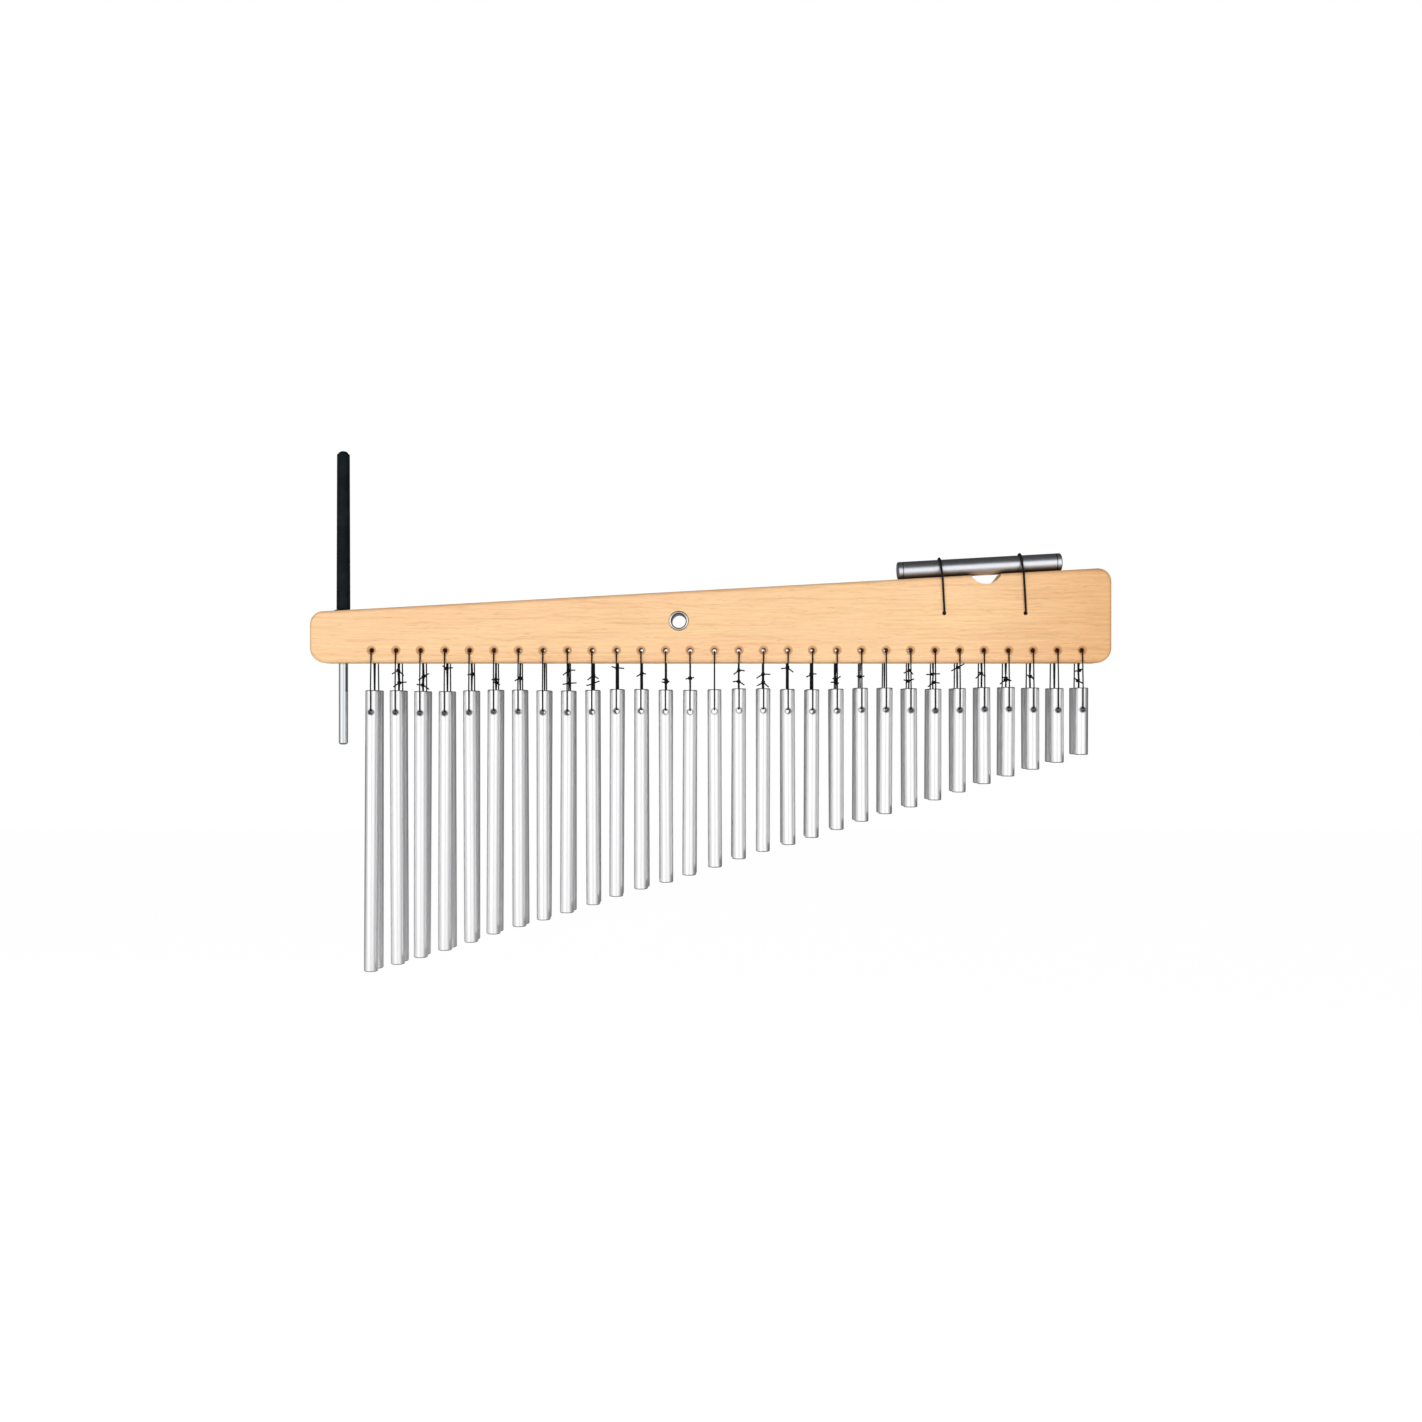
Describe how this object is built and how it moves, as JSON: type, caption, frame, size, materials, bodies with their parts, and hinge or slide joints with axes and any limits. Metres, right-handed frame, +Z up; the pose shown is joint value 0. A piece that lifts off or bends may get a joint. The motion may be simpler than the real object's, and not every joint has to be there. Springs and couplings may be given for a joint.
{
  "type": "bar chime",
  "caption": "Two rows of hanging metal bars, long to short, on cord loops under a tapered wooden beam with a stand bore, a parked beater and a strapped rod on top.",
  "frame": {"origin": "centre of the stand bore, halfway through the beam's thickness", "axes": "+X along the beam from the long bars to the short ones, +Y from the front to the back along the stand bore, +Z up"},
  "size_m": [0.5735, 0.0265, 0.3734],
  "materials": {
    "lacquered_wood": "satin",
    "nickel_plate": "gloss",
    "black_rubber": "matte",
    "polished_steel": "gloss",
    "grip_rubber": "satin",
    "dark_metal": "satin",
    "drawn_aluminium": "satin",
    "elastic_cord": "matte",
    "waxed_cord": "matte"
  },
  "bodies": {
    "beam": {"beam": "lacquered_wood", "stand_eyelet": "nickel_plate", "eyelet_washer": "nickel_plate", "beater_bush": "black_rubber", "energy_chime": "dark_metal", "energy_cord_left": "elastic_cord", "energy_cord_right": "elastic_cord", "cords_01": "waxed_cord", "cords_02": "waxed_cord", "cords_03": "waxed_cord", "cords_04": "waxed_cord", "cords_05": "waxed_cord", "cords_06": "waxed_cord", "cords_07": "waxed_cord", "cords_08": "waxed_cord", "cords_09": "waxed_cord", "cords_10": "waxed_cord", "cords_11": "waxed_cord", "cords_12": "waxed_cord", "cords_13": "waxed_cord", "cords_14": "waxed_cord", "cords_15": "waxed_cord"},
    "beater": {"beater_rod": "polished_steel", "beater_grip": "grip_rubber"},
    "pair_01": {"bars_01": "drawn_aluminium"},
    "pair_02": {"bars_02": "drawn_aluminium"},
    "pair_03": {"bars_03": "drawn_aluminium"},
    "pair_04": {"bars_04": "drawn_aluminium"},
    "pair_05": {"bars_05": "drawn_aluminium"},
    "pair_06": {"bars_06": "drawn_aluminium"},
    "pair_07": {"bars_07": "drawn_aluminium"},
    "pair_08": {"bars_08": "drawn_aluminium"},
    "pair_09": {"bars_09": "drawn_aluminium"},
    "pair_10": {"bars_10": "drawn_aluminium"},
    "pair_11": {"bars_11": "drawn_aluminium"},
    "pair_12": {"bars_12": "drawn_aluminium"},
    "pair_13": {"bars_13": "drawn_aluminium"},
    "pair_14": {"bars_14": "drawn_aluminium"},
    "pair_15": {"bars_15": "drawn_aluminium"},
    "pair_16": {"bars_16": "drawn_aluminium"},
    "pair_17": {"bars_17": "drawn_aluminium"},
    "pair_18": {"bars_18": "drawn_aluminium"},
    "pair_19": {"bars_19": "drawn_aluminium"},
    "pair_20": {"bars_20": "drawn_aluminium"},
    "pair_21": {"bars_21": "drawn_aluminium"},
    "pair_22": {"bars_22": "drawn_aluminium"},
    "pair_23": {"bars_23": "drawn_aluminium"},
    "pair_24": {"bars_24": "drawn_aluminium"},
    "pair_25": {"bars_25": "drawn_aluminium"},
    "pair_26": {"bars_26": "drawn_aluminium"},
    "pair_27": {"bars_27": "drawn_aluminium"},
    "pair_28": {"bars_28": "drawn_aluminium"},
    "pair_29": {"bars_29": "drawn_aluminium"},
    "pair_30": {"bars_30": "drawn_aluminium"}
  },
  "joints": [
    {"name": "beater_lift", "type": "slide", "parent": "beam", "child": "beater", "axis": [0, 0, 1], "range_m": [0, 0.09]},
    {"name": "swing_01", "type": "hinge", "parent": "beam", "child": "pair_01", "pos_m": [-0.2195, 0, -0.06405], "axis": [0, 1, 0], "range_deg": [-2.5, 25]},
    {"name": "swing_02", "type": "hinge", "parent": "beam", "child": "pair_02", "pos_m": [-0.202, 0, -0.06412], "axis": [0, 1, 0], "range_deg": [-1.7, 2.5]},
    {"name": "swing_03", "type": "hinge", "parent": "beam", "child": "pair_03", "pos_m": [-0.1845, 0, -0.06461], "axis": [0, 1, 0], "range_deg": [-2.3, 1.7]},
    {"name": "swing_04", "type": "hinge", "parent": "beam", "child": "pair_04", "pos_m": [-0.167, 0, -0.06474], "axis": [0, 1, 0], "range_deg": [-2.2, 2.3]},
    {"name": "swing_05", "type": "hinge", "parent": "beam", "child": "pair_05", "pos_m": [-0.1495, 0, -0.0642], "axis": [0, 1, 0], "range_deg": [-1.9, 2.2]},
    {"name": "swing_06", "type": "hinge", "parent": "beam", "child": "pair_06", "pos_m": [-0.132, 0, -0.06362], "axis": [0, 1, 0], "range_deg": [-3, 1.9]},
    {"name": "swing_07", "type": "hinge", "parent": "beam", "child": "pair_07", "pos_m": [-0.1145, 0, -0.06364], "axis": [0, 1, 0], "range_deg": [-2.1, 3]},
    {"name": "swing_08", "type": "hinge", "parent": "beam", "child": "pair_08", "pos_m": [-0.097, 0, -0.06413], "axis": [0, 1, 0], "range_deg": [-2.4, 2.1]},
    {"name": "swing_09", "type": "hinge", "parent": "beam", "child": "pair_09", "pos_m": [-0.0795, 0, -0.0643], "axis": [0, 1, 0], "range_deg": [-3, 2.4]},
    {"name": "swing_10", "type": "hinge", "parent": "beam", "child": "pair_10", "pos_m": [-0.062, 0, -0.0638], "axis": [0, 1, 0], "range_deg": [-2.5, 3]},
    {"name": "swing_11", "type": "hinge", "parent": "beam", "child": "pair_11", "pos_m": [-0.0445, 0, -0.06319], "axis": [0, 1, 0], "range_deg": [-3.2, 2.5]},
    {"name": "swing_12", "type": "hinge", "parent": "beam", "child": "pair_12", "pos_m": [-0.027, 0, -0.06316], "axis": [0, 1, 0], "range_deg": [-2.9, 3.2]},
    {"name": "swing_13", "type": "hinge", "parent": "beam", "child": "pair_13", "pos_m": [-0.0095, 0, -0.06364], "axis": [0, 1, 0], "range_deg": [-2.8, 2.9]},
    {"name": "swing_14", "type": "hinge", "parent": "beam", "child": "pair_14", "pos_m": [0.008, 0, -0.06385], "axis": [0, 1, 0], "range_deg": [-4, 2.9]},
    {"name": "swing_15", "type": "hinge", "parent": "beam", "child": "pair_15", "pos_m": [0.0255, 0, -0.06339], "axis": [0, 1, 0], "range_deg": [-3.2, 4]},
    {"name": "swing_16", "type": "hinge", "parent": "beam", "child": "pair_16", "pos_m": [0.043, 0, -0.06276], "axis": [0, 1, 0], "range_deg": [-3.7, 3.2]},
    {"name": "swing_17", "type": "hinge", "parent": "beam", "child": "pair_17", "pos_m": [0.0605, 0, -0.06269], "axis": [0, 1, 0], "range_deg": [-4.1, 3.7]},
    {"name": "swing_18", "type": "hinge", "parent": "beam", "child": "pair_18", "pos_m": [0.078, 0, -0.06315], "axis": [0, 1, 0], "range_deg": [-3.8, 4.1]},
    {"name": "swing_19", "type": "hinge", "parent": "beam", "child": "pair_19", "pos_m": [0.0955, 0, -0.06341], "axis": [0, 1, 0], "range_deg": [-4.9, 3.9]},
    {"name": "swing_20", "type": "hinge", "parent": "beam", "child": "pair_20", "pos_m": [0.113, 0, -0.06299], "axis": [0, 1, 0], "range_deg": [-4.5, 4.9]},
    {"name": "swing_21", "type": "hinge", "parent": "beam", "child": "pair_21", "pos_m": [0.1305, 0, -0.06234], "axis": [0, 1, 0], "range_deg": [-4.8, 4.5]},
    {"name": "swing_22", "type": "hinge", "parent": "beam", "child": "pair_22", "pos_m": [0.148, 0, -0.06221], "axis": [0, 1, 0], "range_deg": [-5.9, 4.9]},
    {"name": "swing_23", "type": "hinge", "parent": "beam", "child": "pair_23", "pos_m": [0.1655, 0, -0.06266], "axis": [0, 1, 0], "range_deg": [-5.6, 6]},
    {"name": "swing_24", "type": "hinge", "parent": "beam", "child": "pair_24", "pos_m": [0.183, 0, -0.06295], "axis": [0, 1, 0], "range_deg": [-6.6, 5.7]},
    {"name": "swing_25", "type": "hinge", "parent": "beam", "child": "pair_25", "pos_m": [0.2005, 0, -0.06258], "axis": [0, 1, 0], "range_deg": [-7.2, 6.7]},
    {"name": "swing_26", "type": "hinge", "parent": "beam", "child": "pair_26", "pos_m": [0.218, 0, -0.06192], "axis": [0, 1, 0], "range_deg": [-7.5, 7.3]},
    {"name": "swing_27", "type": "hinge", "parent": "beam", "child": "pair_27", "pos_m": [0.2355, 0, -0.06174], "axis": [0, 1, 0], "range_deg": [-9.3, 7.7]},
    {"name": "swing_28", "type": "hinge", "parent": "beam", "child": "pair_28", "pos_m": [0.253, 0, -0.06217], "axis": [0, 1, 0], "range_deg": [-9.6, 9.7]},
    {"name": "swing_29", "type": "hinge", "parent": "beam", "child": "pair_29", "pos_m": [0.2705, 0, -0.0625], "axis": [0, 1, 0], "range_deg": [-11.5, 10.1]},
    {"name": "swing_30", "type": "hinge", "parent": "beam", "child": "pair_30", "pos_m": [0.288, 0, -0.06217], "axis": [0, 1, 0], "range_deg": [-32.7, 12]}
  ]
}
